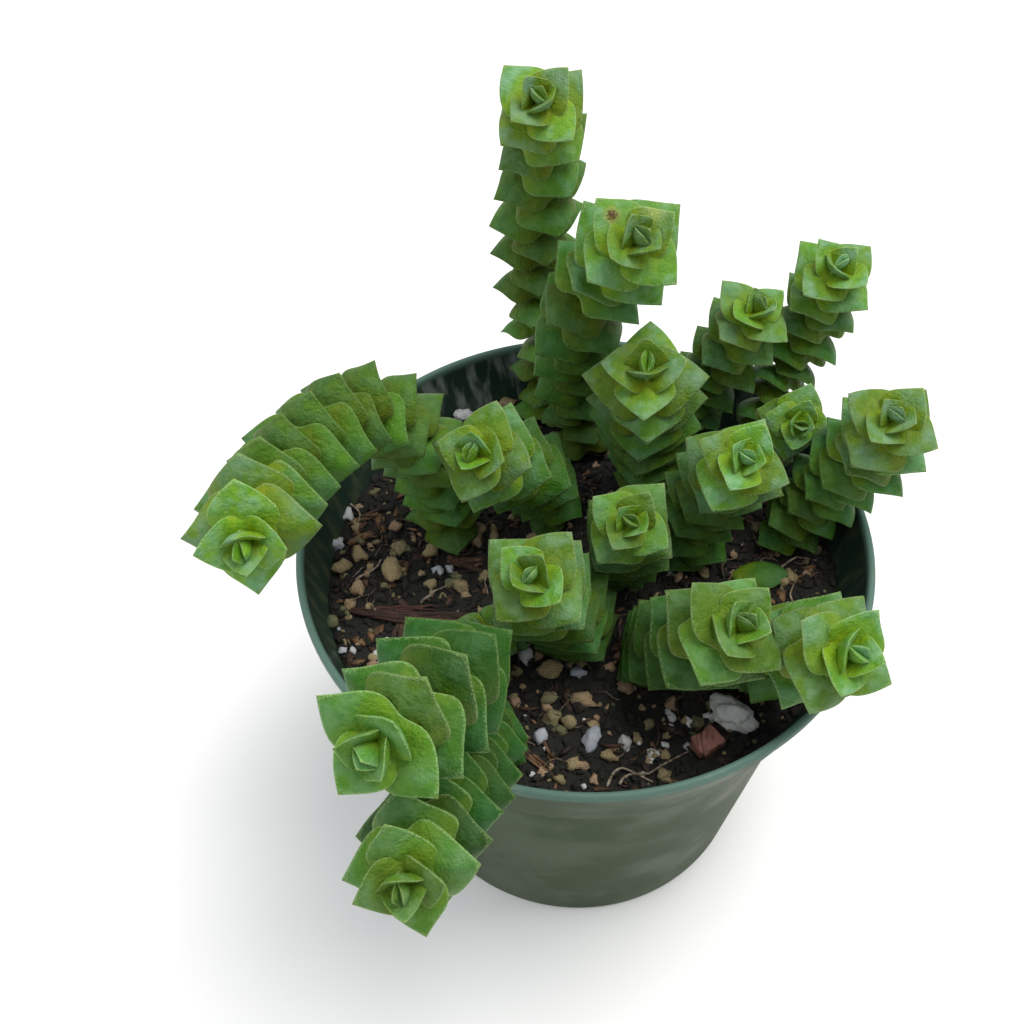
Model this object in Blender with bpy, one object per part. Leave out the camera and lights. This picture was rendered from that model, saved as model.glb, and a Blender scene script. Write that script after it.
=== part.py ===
"""A small stacked-leaf jade plant (a string-of-buttons type Crassula) in a round nursery pot.

The pot is one thin moulded shell. The soil fills it to a little below the rim, and each shoot
is three pieces: a round stem, the stack of paired leaves that clasps it, and the young bud on
its end. Loose bits of perlite, pumice and bark and one dropped leaf lie on the soil.

Metres, +Z up, origin at the centre of the pot's flat base. Routes are written in millimetres.
"""
import math

import bmesh
import bpy
from mathutils import Matrix, Vector

MM = 0.001
GAP = 0.3  # clearance between pieces that touch, in mm

# Pot, mm
RIM_RADIUS = 54.0
POT_HEIGHT = 86.0
BAND_HEIGHT = 18.0
BAND_FOOT_RADIUS = 49.3
NECK_RADIUS = 46.9
BASE_RADIUS = 39.0
WALL = 1.1
FLOOR = 1.6
LIP = 0.5
POT_SIDES = 48
DRAIN_HOLES = 6
DRAIN_HOLE_RADIUS = 4.0
DRAIN_CIRCLE_RADIUS = 27.0

# Soil, mm
SOIL_LEVEL = 74.0
SOIL_ROLL = 0.5  # height of the gentle humps on its surface
SOIL_RINGS = (0.82, 0.6, 0.38, 0.17)

# Shoots, mm
ROOT_HEIGHT = 62.0  # height of each stem's lower end, inside the soil
COLLAR_HEIGHT = 76.0  # each stem stands upright up to here
STEM_RADIUS = 2.0
STEM_SIDES = 8
SLEEVE_RADIUS = 3.5
LEAF_PROFILE = (1.0, 0.72, 0.42, 0.72)  # leaf pair's outline at every eighth of a turn
LEAF_RISE = (2.2, 0.7, -0.3, 0.7)  # height of that outline over the pair's middle
STACK_START = 15.6  # length of bare stem under the lowest pair
COLLAR = 1.2  # sleeve of the top pair beyond its middle
STEM_OVERRUN = 0.8  # how far the stem reaches past the top pair's middle
BUD_LENGTH = 5.0  # from the last full pair to the shoot's tip
BORE_STEP = 8.0  # distance between rings of the bore and of the stem

# Each shoot: its foot on the soil, the points that it bends through above that, leaf length low
# down and at the top, number of pairs, turn of the top pair and twist per pair in degrees
SHOOTS = {
    "back_tall": (
        (-9, 41), [(-10, 45, 89), (-12, 49, 104), (-11, 46, 124), (-10, 40, 143), (-10, 32, 157)],
        7.6, 9.4, 17, 45, 4.0),
    "mid_tall": (
        (-1, 33), [(-3, 34, 92), (-3, 30, 109), (0, 27, 122), (4, 25, 131), (7, 19, 140)],
        7.8, 10.7, 15, 45, 2.0),
    "centre": (
        (13, 21), [(12, 21, 90), (11, 19, 103), (10, 15, 115)],
        8.0, 11.4, 11, 0, 2.0),
    "back_right_short": (
        (21, 33), [(22, 33, 91), (27, 32, 105), (30, 29, 118)],
        6.6, 9.0, 11, 45, 2.0),
    "back_right_long": (
        (34, 26), [(36, 32, 92), (40, 36, 102), (43, 37, 113), (44, 34, 124)],
        6.0, 9.0, 14, 42, 2.0),
    "right_long": (
        (40, 10), [(45, 10, 90), (49, 9, 99), (52, 8, 107), (52, 5, 115)],
        7.2, 9.8, 13, 50, 2.0),
    "right_small": (
        (28, 17), [(33, 19, 89), (38, 20, 97), (39, 14, 103)],
        5.0, 7.4, 9, 78, 2.0),
    "right_mid": (
        (21, 6), [(21, 5, 88), (25, 4, 99), (27, -2, 111)],
        8.0, 9.5, 11, 65, 2.0),
    "centre_low": (
        (7, 0), [(8, -4, 87), (8, -7, 96), (8, -12, 105)],
        7.0, 9.0, 9, 56, 2.0),
    "front_centre": (
        (0, -16), [(-2, -18, 86), (-6, -21, 96), (-8, -26, 107)],
        8.0, 10.4, 10, 52, 2.0),
    "left_centre": (
        (-6, 13), [(-9, 10, 90), (-15, 2, 103), (-19, -5, 113)],
        6.7, 9.9, 10, 78, 2.0),
    "left_arching": (
        (-27, 9), [(-28, 10, 88), (-30, 8, 99), (-35, 5, 110), (-41, -2, 117), (-46, -14, 121),
                   (-49, -27, 124), (-48, -39, 129)],
        8.4, 10.2, 25, 8, 2.0),
    "front_left_upper": (
        (-21, -31), [(-21, -36, 93), (-18, -50, 114), (-22, -61, 123), (-25, -70, 129)],
        6.4, 10.7, 17, 58, 2.0),
    "front_left_trailing": (
        (-13, -41), [(-14, -45, 90), (-16, -56, 97), (-18, -64, 103), (-20, -73, 109), (-21, -82, 115)],
        5.0, 9.6, 17, 15, 2.0),
    "front_left_young": (
        (-12, -17), [(-15, -20, 81), (-20, -24, 85)],
        4.5, 6.2, 5, 70, 2.0),
    "front_right": (
        (14, -20), [(16, -25, 87), (20, -30, 97), (25, -34, 108)],
        8.3, 10.6, 11, 60, 2.0),
    "far_right_front": (
        (30, -20), [(34, -26, 89), (38, -32, 98), (42, -37, 106)],
        7.0, 10.9, 11, 65, 2.0),
}

# Loose bits on the soil: place, three half-sizes, turn, seed of the chipped surface, colour
PEBBLES = {
    "perlite_chunk": ((28, -31), (4.2, 2.8, 2.0), -28, 1, (0.78, 0.79, 0.76)),
    "pumice_pebble": ((-37, -3), (2.6, 1.9, 1.5), 70, 2, (0.60, 0.47, 0.30)),
    "perlite_back": ((-27, 40), (2.0, 1.5, 1.2), 20, 3, (0.80, 0.80, 0.80)),
    "bark_chip": ((23, -37), (3.0, 2.0, 1.4), 40, 4, (0.42, 0.24, 0.20)),
}


def clear_scene():
    for old in list(bpy.data.objects):
        bpy.data.objects.remove(old)


def make_material(name, colour, roughness):
    material = bpy.data.materials.new(name)
    material.use_nodes = True
    shader = material.node_tree.nodes["Principled BSDF"]
    shader.inputs["Base Color"].default_value = (*colour, 1.0)
    shader.inputs["Roughness"].default_value = roughness
    shader.inputs["Metallic"].default_value = 0.0
    return material


def make_object(name, bm, material, smooth_angle=40.0):
    """Turns a bmesh drawn in millimetres into an object in metres."""
    bmesh.ops.recalc_face_normals(bm, faces=bm.faces)
    bm.transform(Matrix.Scale(MM, 4))
    mesh = bpy.data.meshes.new(name)
    bm.to_mesh(mesh)
    bm.free()
    mesh.shade_smooth()
    mesh.set_sharp_from_angle(angle=math.radians(smooth_angle))
    mesh.materials.append(material)
    obj = bpy.data.objects.new(name, mesh)
    bpy.context.scene.collection.objects.link(obj)
    return obj


def make_cutter(name, bm):
    cutter = make_object(name, bm, make_material(name, (0.5, 0.5, 0.5), 0.5))
    cutter.hide_render = True
    cutter.display_type = "WIRE"
    return cutter


def cut(obj, cutter):
    boolean = obj.modifiers.new("cut_" + cutter.name, "BOOLEAN")
    boolean.operation = "DIFFERENCE"
    boolean.solver = "EXACT"
    boolean.object = cutter


def bridge(bm, lower, upper):
    """A band of faces between two rings with the same number of corners."""
    count = len(lower)
    for i in range(count):
        j = (i + 1) % count
        bm.faces.new((lower[i], lower[j], upper[j], upper[i]))


def loft(bm, rings):
    """Skins a list of rings of points, one to the next, and returns its first and last rings."""
    rows = [[bm.verts.new(point) for point in ring] for ring in rings]
    for lower, upper in zip(rows, rows[1:]):
        bridge(bm, lower, upper)
    return rows[0], rows[-1]


def turned(profile):
    """A solid of revolution about Z from (radius, height) points that start and end on the axis."""
    bm = bmesh.new()
    line = [bm.verts.new((radius, 0.0, height)) for radius, height in profile]
    edges = [bm.edges.new(pair) for pair in zip(line, line[1:])]
    bmesh.ops.spin(
        bm, geom=line + edges, cent=(0, 0, 0), axis=(0, 0, 1), angle=2 * math.pi,
        steps=POT_SIDES, use_merge=True)
    bmesh.ops.remove_doubles(bm, verts=bm.verts, dist=0.001)
    return bm


def pot_inner_radius(height):
    """Radius of the pot's inner wall beside the soil, where the rim band widens upwards."""
    share = (height - (POT_HEIGHT - BAND_HEIGHT)) / BAND_HEIGHT
    return BAND_FOOT_RADIUS + (RIM_RADIUS - BAND_FOOT_RADIUS) * share - WALL


def soil_height(x, y):
    """The soil's surface: a few low humps, flat enough for things to lie on."""
    waves = math.sin(0.17 * x + 1.0) * math.cos(0.15 * y) + 0.6 * math.sin(0.31 * y - 0.23 * x)
    return SOIL_LEVEL + SOIL_ROLL * waves * 0.6


# ---------------------------------------------------------------- pot and soil
def build_pot():
    neck = POT_HEIGHT - BAND_HEIGHT
    profile = [
        (0.0, 0.0),
        (BASE_RADIUS - 0.8, 0.0),
        (BASE_RADIUS, 0.8),
        (NECK_RADIUS, neck - 2.0),
        (BAND_FOOT_RADIUS, neck),
        (RIM_RADIUS - 0.2, POT_HEIGHT - 1.6),
        (RIM_RADIUS, POT_HEIGHT - 1.2),
        (RIM_RADIUS - LIP, POT_HEIGHT),
        (RIM_RADIUS - WALL - LIP, POT_HEIGHT),
        (RIM_RADIUS - WALL - 0.6, POT_HEIGHT - 1.4),
        (BAND_FOOT_RADIUS - WALL, neck + 0.6),
        (NECK_RADIUS - WALL, neck - 1.6),
        (BASE_RADIUS - WALL, FLOOR),
        (0.0, FLOOR),
    ]
    pot = make_object("pot", turned(profile), make_material("pot_green", (0.08, 0.15, 0.11), 0.42))
    holes = bmesh.new()
    for i in range(DRAIN_HOLES):
        angle = 2 * math.pi * (i + 0.5) / DRAIN_HOLES
        place = Vector((math.cos(angle), math.sin(angle), 0.0)) * DRAIN_CIRCLE_RADIUS
        bmesh.ops.create_cone(
            holes, cap_ends=True, segments=12, radius1=DRAIN_HOLE_RADIUS, radius2=DRAIN_HOLE_RADIUS,
            depth=8.0, matrix=Matrix.Translation(place))
    cut(pot, make_cutter("drain_hole_cutter", holes))


def build_soil():
    neck = POT_HEIGHT - BAND_HEIGHT
    foot = FLOOR + GAP
    edge = pot_inner_radius(SOIL_LEVEL) - GAP - 0.1
    profile = [
        (0.0, foot),
        (BASE_RADIUS - WALL - GAP - 0.1, foot),
        (NECK_RADIUS - WALL - GAP - 0.1, neck - 1.4),
        (BAND_FOOT_RADIUS - WALL - GAP - 0.1, neck + 0.9),
        (edge, SOIL_LEVEL - 0.6),
    ]
    profile += [(edge * share, SOIL_LEVEL) for share in SOIL_RINGS]
    profile.append((0.0, SOIL_LEVEL))
    bm = turned(profile)
    for vert in bm.verts:
        if vert.co.z > SOIL_LEVEL - 0.1:
            vert.co.z = soil_height(vert.co.x, vert.co.y)
    soil = make_object("soil", bm, make_material("soil_dark", (0.035, 0.028, 0.022), 0.95))
    sockets = bmesh.new()
    for (x, y), *_ in SHOOTS.values():
        bmesh.ops.create_cone(
            sockets, cap_ends=True, segments=STEM_SIDES, radius1=STEM_RADIUS + GAP + 0.1,
            radius2=STEM_RADIUS + GAP + 0.1, depth=2 * (SOIL_LEVEL - ROOT_HEIGHT) + 2 * GAP,
            matrix=Matrix.Translation((x, y, SOIL_LEVEL)))
    cut(soil, make_cutter("stem_socket_cutter", sockets))


# ---------------------------------------------------------------- shoots
def smooth_path(route, steps=24):
    """Points along a Catmull-Rom curve through the route, with the distance along it to each."""
    points = [Vector(p) for p in route]
    points = [2 * points[0] - points[1]] + points + [2 * points[-1] - points[-2]]
    path = []
    for a, b, c, d in zip(points, points[1:], points[2:], points[3:]):
        for step in range(steps):
            t = step / steps
            path.append(0.5 * (2 * b + (c - a) * t + (2 * a - 5 * b + 4 * c - d) * t ** 2
                               + (3 * b - a - 3 * c + d) * t ** 3))
    path.append(points[-2])
    lengths = [0.0]
    for before, after in zip(path, path[1:]):
        lengths.append(lengths[-1] + (after - before).length)
    return path, lengths


class Shoot:
    """The centre line of a shoot, with a frame that is carried down from its tip without turning."""

    def __init__(self, route):
        self.path, self.lengths = smooth_path(route)
        self.length = self.lengths[-1]
        last = len(self.path) - 1
        self.along = []
        for i in range(last + 1):
            ahead = self.path[min(i + 1, last)] - self.path[max(i - 1, 0)]
            self.along.append(ahead.normalized())
        side = Vector((1.0, 0.0, 0.0))
        self.side = [side] * (last + 1)
        for i in range(last, -1, -1):
            side = (side - self.along[i] * side.dot(self.along[i])).normalized()
            self.side[i] = side

    def frame(self, distance):
        """Centre, side, up and forward directions at a distance from the cut end."""
        i = 0
        while i < len(self.path) - 2 and self.lengths[i + 1] < distance:
            i += 1
        share = (distance - self.lengths[i]) / (self.lengths[i + 1] - self.lengths[i])
        centre = self.path[i].lerp(self.path[i + 1], share)
        forward = self.along[i].lerp(self.along[i + 1], min(share, 1.0)).normalized()
        side = self.side[i].lerp(self.side[i + 1], min(share, 1.0))
        side = (side - forward * side.dot(forward)).normalized()
        return centre, side, forward.cross(side), forward

    def ring(self, distance, turn, radii, rises):
        """Eight points around the stem: a radius and a forward offset for each."""
        centre, side, up, forward = self.frame(distance)
        points = []
        for i in range(STEM_SIDES):
            angle = turn + 2 * math.pi * i / STEM_SIDES
            out = side * math.cos(angle) + up * math.sin(angle)
            points.append(centre + out * radii[i] + forward * rises[i])
        return points

    def circle(self, distance, radius):
        return self.ring(distance, 0.0, [radius] * STEM_SIDES, [0.0] * STEM_SIDES)


def spaced(start, end, step):
    """Even distances from start to end, about a step apart."""
    count = max(1, round((end - start) / step))
    return [start + (end - start) * i / count for i in range(count + 1)]


def pair_ring(shoot, distance, turn, quarter_turns, leaf, lift=1.0):
    radii = [leaf * LEAF_PROFILE[(i + 2 * quarter_turns) % 4] for i in range(STEM_SIDES)]
    rises = [lift * LEAF_RISE[(i + 2 * quarter_turns) % 4] for i in range(STEM_SIDES)]
    return shoot.ring(distance, turn, radii, rises)


def build_stem(name, shoot, top, material):
    bm = bmesh.new()
    stations = [0.0] + spaced(STACK_START - 1.0, top, BORE_STEP)
    first, last = loft(bm, [shoot.circle(s, STEM_RADIUS) for s in stations])
    bm.faces.new(first)
    bm.faces.new(last)
    make_object("stem_" + name, bm, material)


def build_leaves(name, shoot, pairs, material):
    """The whole stack of clasping leaf pairs as one body, open along its middle for the stem."""
    bm = bmesh.new()
    sleeve = [SLEEVE_RADIUS] * STEM_SIDES
    flat = [0.0] * STEM_SIDES
    half_gap = (pairs[1][0] - pairs[0][0]) / 2
    rings = []
    for quarter_turns, (distance, turn, leaf) in enumerate(pairs):
        rings.append(shoot.ring(distance - half_gap, turn, sleeve, flat))
        rings.append(pair_ring(shoot, distance, turn, quarter_turns, leaf))
    top = pairs[-1][0] + COLLAR
    rings.append(shoot.ring(top, pairs[-1][1], sleeve, flat))
    outer_foot, outer_top = loft(bm, rings)
    start = pairs[0][0] - half_gap
    stations = spaced(STACK_START - 1.0, pairs[-1][0] + STEM_OVERRUN, BORE_STEP)
    bore = [shoot.circle(start, STEM_RADIUS + GAP)]
    bore += [shoot.circle(s, STEM_RADIUS + GAP) for s in stations if start + 1.0 < s < top - 1.0]
    bore.append(shoot.circle(top, STEM_RADIUS + GAP))
    inner_foot, inner_top = loft(bm, bore)
    bridge(bm, outer_foot, inner_foot)
    bridge(bm, outer_top, inner_top)
    make_object("leaves_" + name, bm, material)


def build_bud(name, shoot, pairs, material):
    """The two youngest pairs, folded over the growing point."""
    distance, turn, leaf = pairs[-1]
    count = len(pairs)
    rings = [
        shoot.ring(distance + COLLAR + GAP, turn, [STEM_RADIUS] * STEM_SIDES, [0.0] * STEM_SIDES),
        pair_ring(shoot, distance + 2.6, turn, count, 0.56 * leaf),
        shoot.ring(distance + 3.4, turn, [STEM_RADIUS] * STEM_SIDES, [0.0] * STEM_SIDES),
        pair_ring(shoot, distance + 4.0, turn, count + 1, 0.34 * leaf, lift=0.6),
    ]
    bm = bmesh.new()
    first, last = loft(bm, rings)
    bm.faces.new(first)
    centre, _, _, forward = shoot.frame(distance + BUD_LENGTH)
    tip = bm.verts.new(centre + forward * 0.6)
    for i in range(STEM_SIDES):
        bm.faces.new((last[i], last[(i + 1) % STEM_SIDES], tip))
    make_object("bud_" + name, bm, material)


def build_shoots():
    stem_green = make_material("stem_green", (0.16, 0.19, 0.07), 0.6)
    leaf_green = make_material("leaf_green", (0.13, 0.27, 0.08), 0.5)
    bud_green = make_material("bud_green", (0.26, 0.42, 0.11), 0.5)
    for name, (foot, bends, low_leaf, top_leaf, count, top_turn, twist) in SHOOTS.items():
        shoot = Shoot([(*foot, ROOT_HEIGHT), (*foot, COLLAR_HEIGHT)] + bends)
        last = shoot.length - BUD_LENGTH
        pairs = []
        for i in range(count):
            share = i / (count - 1)
            leaf = low_leaf + (top_leaf - low_leaf) * min(1.0, 1.5 * share)
            turn = math.radians(top_turn + twist * (i - (count - 1)))
            pairs.append((STACK_START + (last - STACK_START) * share, turn, leaf))
        build_stem(name, shoot, last + STEM_OVERRUN, stem_green)
        build_leaves(name, shoot, pairs, leaf_green)
        build_bud(name, shoot, pairs, bud_green)


# ---------------------------------------------------------------- loose things on the soil
def build_pebbles():
    """Chipped lumps that lie on the soil, each a coarse ball with its corners pushed about."""
    for name, ((x, y), half_sizes, turn, seed, colour) in PEBBLES.items():
        bm = bmesh.new()
        bmesh.ops.create_icosphere(bm, subdivisions=1, radius=1.0)
        for i, vert in enumerate(bm.verts):
            vert.co *= 1.0 + 0.16 * math.sin(12.9 * i + 78.2 * seed)
        bm.transform(Matrix.Diagonal((*half_sizes, 1.0)))
        bm.transform(Matrix.Rotation(math.radians(turn), 4, "Z"))
        lowest = min(vert.co.z for vert in bm.verts)
        ground = max(soil_height(x + v.co.x, y + v.co.y) for v in bm.verts)
        bm.transform(Matrix.Translation((x, y, ground + GAP - lowest)))
        make_object(name, bm, make_material(name, colour, 0.85))


def build_bark_strip():
    """A long splinter of bark lying across the soil from the left wall to the middle."""
    stations = [(-44, -11, 1.2, 0.9), (-36, -13, 2.0, 1.2), (-27, -11, 1.8, 1.1), (-17, -8, 0.8, 0.6)]
    rings = []
    for x, y, half_width, thickness in stations:
        low = max(soil_height(x, y - half_width), soil_height(x, y + half_width)) + GAP + 0.3
        rings.append([
            (x, y - half_width, low),
            (x, y + half_width, low),
            (x, y + 0.6 * half_width, low + thickness),
            (x, y - 0.6 * half_width, low + thickness),
        ])
    bm = bmesh.new()
    first, last = loft(bm, rings)
    bm.faces.new(first)
    bm.faces.new(last)
    make_object("bark_strip", bm, make_material("bark_red", (0.22, 0.10, 0.06), 0.9))


def build_fallen_leaf():
    """One dropped leaf, thick in the middle, lying flat on the soil."""
    place = Vector((34, 1, 0))
    outline = [
        (-5.5, 0), (-3.0, 3.0), (1.0, 3.8), (4.0, 2.2),
        (6.0, 0), (3.5, -2.4), (0.5, -3.6), (-3.5, -2.8),
    ]
    low = SOIL_LEVEL + SOIL_ROLL + GAP
    rings = []
    for share, height in ((0.7, 0.0), (1.0, 0.9), (0.6, 1.9)):
        rings.append([place + Vector((x * share, y * share, low + height)) for x, y in outline])
    bm = bmesh.new()
    first, last = loft(bm, rings)
    bm.faces.new(first)
    bm.faces.new(last)
    make_object("fallen_leaf", bm, make_material("fallen_leaf_green", (0.15, 0.26, 0.10), 0.5))


clear_scene()
build_pot()
build_soil()
build_shoots()
build_pebbles()
build_bark_strip()
build_fallen_leaf()
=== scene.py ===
"""A stacked-leaf jade plant in a round nursery pot, dressed round its fixed frame.

Sizes are written in millimetres and scaled to metres as each mesh is finished.
"""
import math
import random

import bmesh
import bpy
import numpy as np
from mathutils import Matrix, Vector, noise


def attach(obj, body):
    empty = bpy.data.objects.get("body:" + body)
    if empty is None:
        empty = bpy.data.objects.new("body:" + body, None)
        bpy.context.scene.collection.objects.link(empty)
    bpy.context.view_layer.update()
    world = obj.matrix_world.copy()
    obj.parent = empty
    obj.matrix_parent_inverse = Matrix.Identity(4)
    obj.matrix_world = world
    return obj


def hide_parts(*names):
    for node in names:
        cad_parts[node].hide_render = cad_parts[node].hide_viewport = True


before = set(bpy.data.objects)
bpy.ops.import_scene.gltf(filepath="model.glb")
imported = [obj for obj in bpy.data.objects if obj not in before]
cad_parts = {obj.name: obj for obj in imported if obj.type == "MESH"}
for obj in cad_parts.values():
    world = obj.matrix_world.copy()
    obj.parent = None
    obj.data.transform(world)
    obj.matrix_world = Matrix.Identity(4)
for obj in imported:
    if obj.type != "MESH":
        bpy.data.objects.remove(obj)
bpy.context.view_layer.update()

MM = 0.001

# ------------------------------------------------------------------------------------------ studio
# A close camera that looks steeply down on the pot, as one sees a small plant held in front.
# A pale seamless table, one large soft light high on the right, and a weak one from the left.
CAMERA_PLACE = (0.0, -140.3, 263.5)
CAMERA_TURN = 5.42
CAMERA_DIP = 50.69
CAMERA_ROLL = -1.72
CAMERA_LENS = 42.19
TABLE_SIZE = 6.0
TABLE_WHITE = (0.86, 0.86, 0.85)
SKY_WHITE = (0.95, 0.97, 1.0)
SKY_STRENGTH = 0.75


def add_camera():
    camera = bpy.data.objects.new("camera", bpy.data.cameras.new("camera"))
    camera.data.lens = CAMERA_LENS
    camera.data.sensor_width = 36.0
    camera.data.clip_start = 0.01
    camera.matrix_world = (
        Matrix.Translation(Vector(CAMERA_PLACE) * MM)
        @ Matrix.Rotation(math.radians(CAMERA_TURN), 4, "Z")
        @ Matrix.Rotation(math.radians(90.0 - CAMERA_DIP), 4, "X")
        @ Matrix.Rotation(math.radians(CAMERA_ROLL), 4, "Z"))
    bpy.context.scene.collection.objects.link(camera)
    bpy.context.scene.camera = camera


def add_table():
    bm = bmesh.new()
    bmesh.ops.create_grid(bm, x_segments=1, y_segments=1, size=TABLE_SIZE / 2)
    mesh = bpy.data.meshes.new("table")
    bm.to_mesh(mesh)
    bm.free()
    material = bpy.data.materials.new("table_white")
    material.use_nodes = True
    shader = material.node_tree.nodes["Principled BSDF"]
    shader.inputs["Base Color"].default_value = (*TABLE_WHITE, 1.0)
    shader.inputs["Roughness"].default_value = 0.8
    mesh.materials.append(material)
    table = bpy.data.objects.new("table", mesh)
    bpy.context.scene.collection.objects.link(table)


def add_softbox(name, place, size, watts, tint):
    light = bpy.data.lights.new(name, "AREA")
    light.size = size
    light.energy = watts
    light.color = tint
    lamp = bpy.data.objects.new(name, light)
    lamp.location = place
    lamp.rotation_euler = (-Vector(place)).to_track_quat("-Z", "Y").to_euler()
    bpy.context.scene.collection.objects.link(lamp)


def add_sky():
    world = bpy.data.worlds.new("sky")
    world.use_nodes = True
    background = world.node_tree.nodes["Background"]
    background.inputs["Color"].default_value = (*SKY_WHITE, 1.0)
    background.inputs["Strength"].default_value = SKY_STRENGTH
    bpy.context.scene.world = world


add_camera()
add_table()
add_softbox("key_softbox", (0.30, 0.10, 1.0), 0.6, 9.8, (1.0, 0.98, 0.94))
add_softbox("fill_softbox", (-0.8, -0.4, 0.8), 0.9, 3.0, (0.94, 0.97, 1.0))
add_sky()
bpy.context.scene.view_settings.view_transform = "Standard"

# --------------------------------------------------------------------------------------------- pot
# A thin nursery pot, moulded in one piece from recycled green plastic: a tapered wall, a wide band
# round the rim with a rounded lip, a soft step under the band, and drain holes in its flat base.
RIM_RADIUS = 54.0
POT_HEIGHT = 86.0
BAND_HEIGHT = 18.0
BAND_FOOT_RADIUS = 49.3
NECK_RADIUS = 46.9
BASE_RADIUS = 39.0
WALL = 1.1
FLOOR = 1.6
LIP_REACH = 0.7
POT_STEPS = 160
DRAIN_HOLES = 6
DRAIN_HOLE_RADIUS = 4.0
DRAIN_CIRCLE_RADIUS = 27.0

POT_OLIVE = (0.021, 0.044, 0.008)
POT_MOTTLE = (0.017, 0.035, 0.007)
# Painted sheen: a lighter blue-green for the top of the rounded lip, standing in for sky reflected on it
POT_LIP_PAINTED_SHEEN = (0.085, 0.150, 0.120)
POT_INSIDE = (0.016, 0.034, 0.024)
POT_STAIN = (0.075, 0.085, 0.045)
POT_SCUFF = (0.22, 0.25, 0.21)
MINERAL_DUST = (0.30, 0.35, 0.35)


def finish_piece(name, bm, material, slot, *stands_for, levels=0):
    """Makes a bmesh drawn in millimetres a piece that rides on the root, with its finish."""
    bm.transform(Matrix.Scale(MM, 4))
    mesh = bpy.data.meshes.new(name)
    bm.to_mesh(mesh)
    bm.free()
    mesh.shade_smooth()
    return place_piece(name, mesh, material, slot, *stands_for, levels=levels)


def place_piece(name, mesh, material, slot, *stands_for, levels=0):
    """Links a finished mesh as a piece on the root, which may stand for CAD nodes."""
    mesh.materials.append(material)
    piece = bpy.data.objects.new(name, mesh)
    bpy.context.scene.collection.objects.link(piece)
    if levels:
        smoothing = piece.modifiers.new("smoothing", "SUBSURF")
        smoothing.levels = levels
        smoothing.render_levels = levels
    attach(piece, "root")
    if stands_for:
        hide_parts(*stands_for)
    return piece


def new_material(name):
    """A node material, with its tree and its Principled shader."""
    material = bpy.data.materials.new(name)
    material.use_nodes = True
    tree = material.node_tree
    return material, tree, tree.nodes["Principled BSDF"]


def add_node(tree, kind, inputs=None, **settings):
    """A shader node with its settings, its inputs set to a value or linked from a socket."""
    node = tree.nodes.new("ShaderNode" + kind)
    for key, value in settings.items():
        setattr(node, key, value)
    for key, value in (inputs or {}).items():
        if isinstance(value, bpy.types.NodeSocket):
            tree.links.new(value, node.inputs[key])
        else:
            node.inputs[key].default_value = value
    return node


def ramp(tree, value, low, high, out_low=0.0, out_high=1.0):
    """A smooth step from out_low to out_high as value goes from low to high."""
    inputs = {"Value": value, "From Min": low, "From Max": high, "To Min": out_low, "To Max": out_high}
    return add_node(tree, "MapRange", inputs, interpolation_type="SMOOTHSTEP").outputs["Result"]


def maths(tree, operation, a, b=0.0):
    return add_node(tree, "Math", {0: a, 1: b}, operation=operation).outputs[0]


def blend_colours(tree, share, a, b, kind="MIX"):
    """a where share is 0 and b where it is 1; either may be a colour or a socket."""
    colours = [c if isinstance(c, bpy.types.NodeSocket) else (*c, 1.0) for c in (a, b)]
    inputs = {"Factor": share, 6: colours[0], 7: colours[1]}
    return add_node(tree, "Mix", inputs, data_type="RGBA", blend_type=kind).outputs[2]


def near(tree, value, middle_mm, reach_mm):
    """1 where a length is at the middle given, falling to 0 at its reach to either side."""
    off = maths(tree, "ABSOLUTE", maths(tree, "SUBTRACT", value, middle_mm * MM))
    return ramp(tree, off, reach_mm * MM, 0.0)


def stretched_noise(tree, along, scale, detail):
    """Noise on Object coordinates, squeezed by a factor along each axis."""
    place = add_node(tree, "TexCoord").outputs["Object"]
    stretched = add_node(tree, "VectorMath", {0: place, 1: along}, operation="MULTIPLY").outputs[0]
    inputs = {"Vector": stretched, "Scale": scale, "Detail": detail}
    return add_node(tree, "TexNoise", inputs).outputs["Fac"]


def grain_group():
    """Grain at a given scale on Object coordinates: a cloudy mask and a finer height."""
    group = bpy.data.node_groups.new("grain", "ShaderNodeTree")
    group.interface.new_socket("Scale", in_out="INPUT", socket_type="NodeSocketFloat")
    group.interface.new_socket("Fineness", in_out="INPUT", socket_type="NodeSocketFloat")
    group.interface.new_socket("Cloud", in_out="OUTPUT", socket_type="NodeSocketFloat")
    group.interface.new_socket("Height", in_out="OUTPUT", socket_type="NodeSocketFloat")
    given = group.nodes.new("NodeGroupInput").outputs
    place = add_node(group, "TexCoord").outputs["Object"]
    broad = add_node(group, "TexNoise", {"Vector": place, "Scale": given["Scale"], "Detail": 3.0})
    fine_scale = maths(group, "MULTIPLY", given["Scale"], given["Fineness"])
    fine = add_node(group, "TexNoise", {"Vector": place, "Scale": fine_scale, "Detail": 4.0})
    made = group.nodes.new("NodeGroupOutput").inputs
    group.links.new(ramp(group, broad.outputs["Fac"], 0.3, 0.7), made["Cloud"])
    group.links.new(fine.outputs["Fac"], made["Height"])
    return group


GRAIN = grain_group()


def grain(tree, scale, fineness):
    """The grain group placed in a material: its cloud and its height."""
    node = tree.nodes.new("ShaderNodeGroup")
    node.node_tree = GRAIN
    node.inputs["Scale"].default_value = scale
    node.inputs["Fineness"].default_value = fineness
    return node.outputs["Cloud"], node.outputs["Height"]


def bump(tree, shader, height, depth_mm, strength=1.0):
    inputs = {"Height": height, "Distance": depth_mm * MM, "Strength": strength}
    tree.links.new(add_node(tree, "Bump", inputs).outputs["Normal"], shader.inputs["Normal"])


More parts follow.
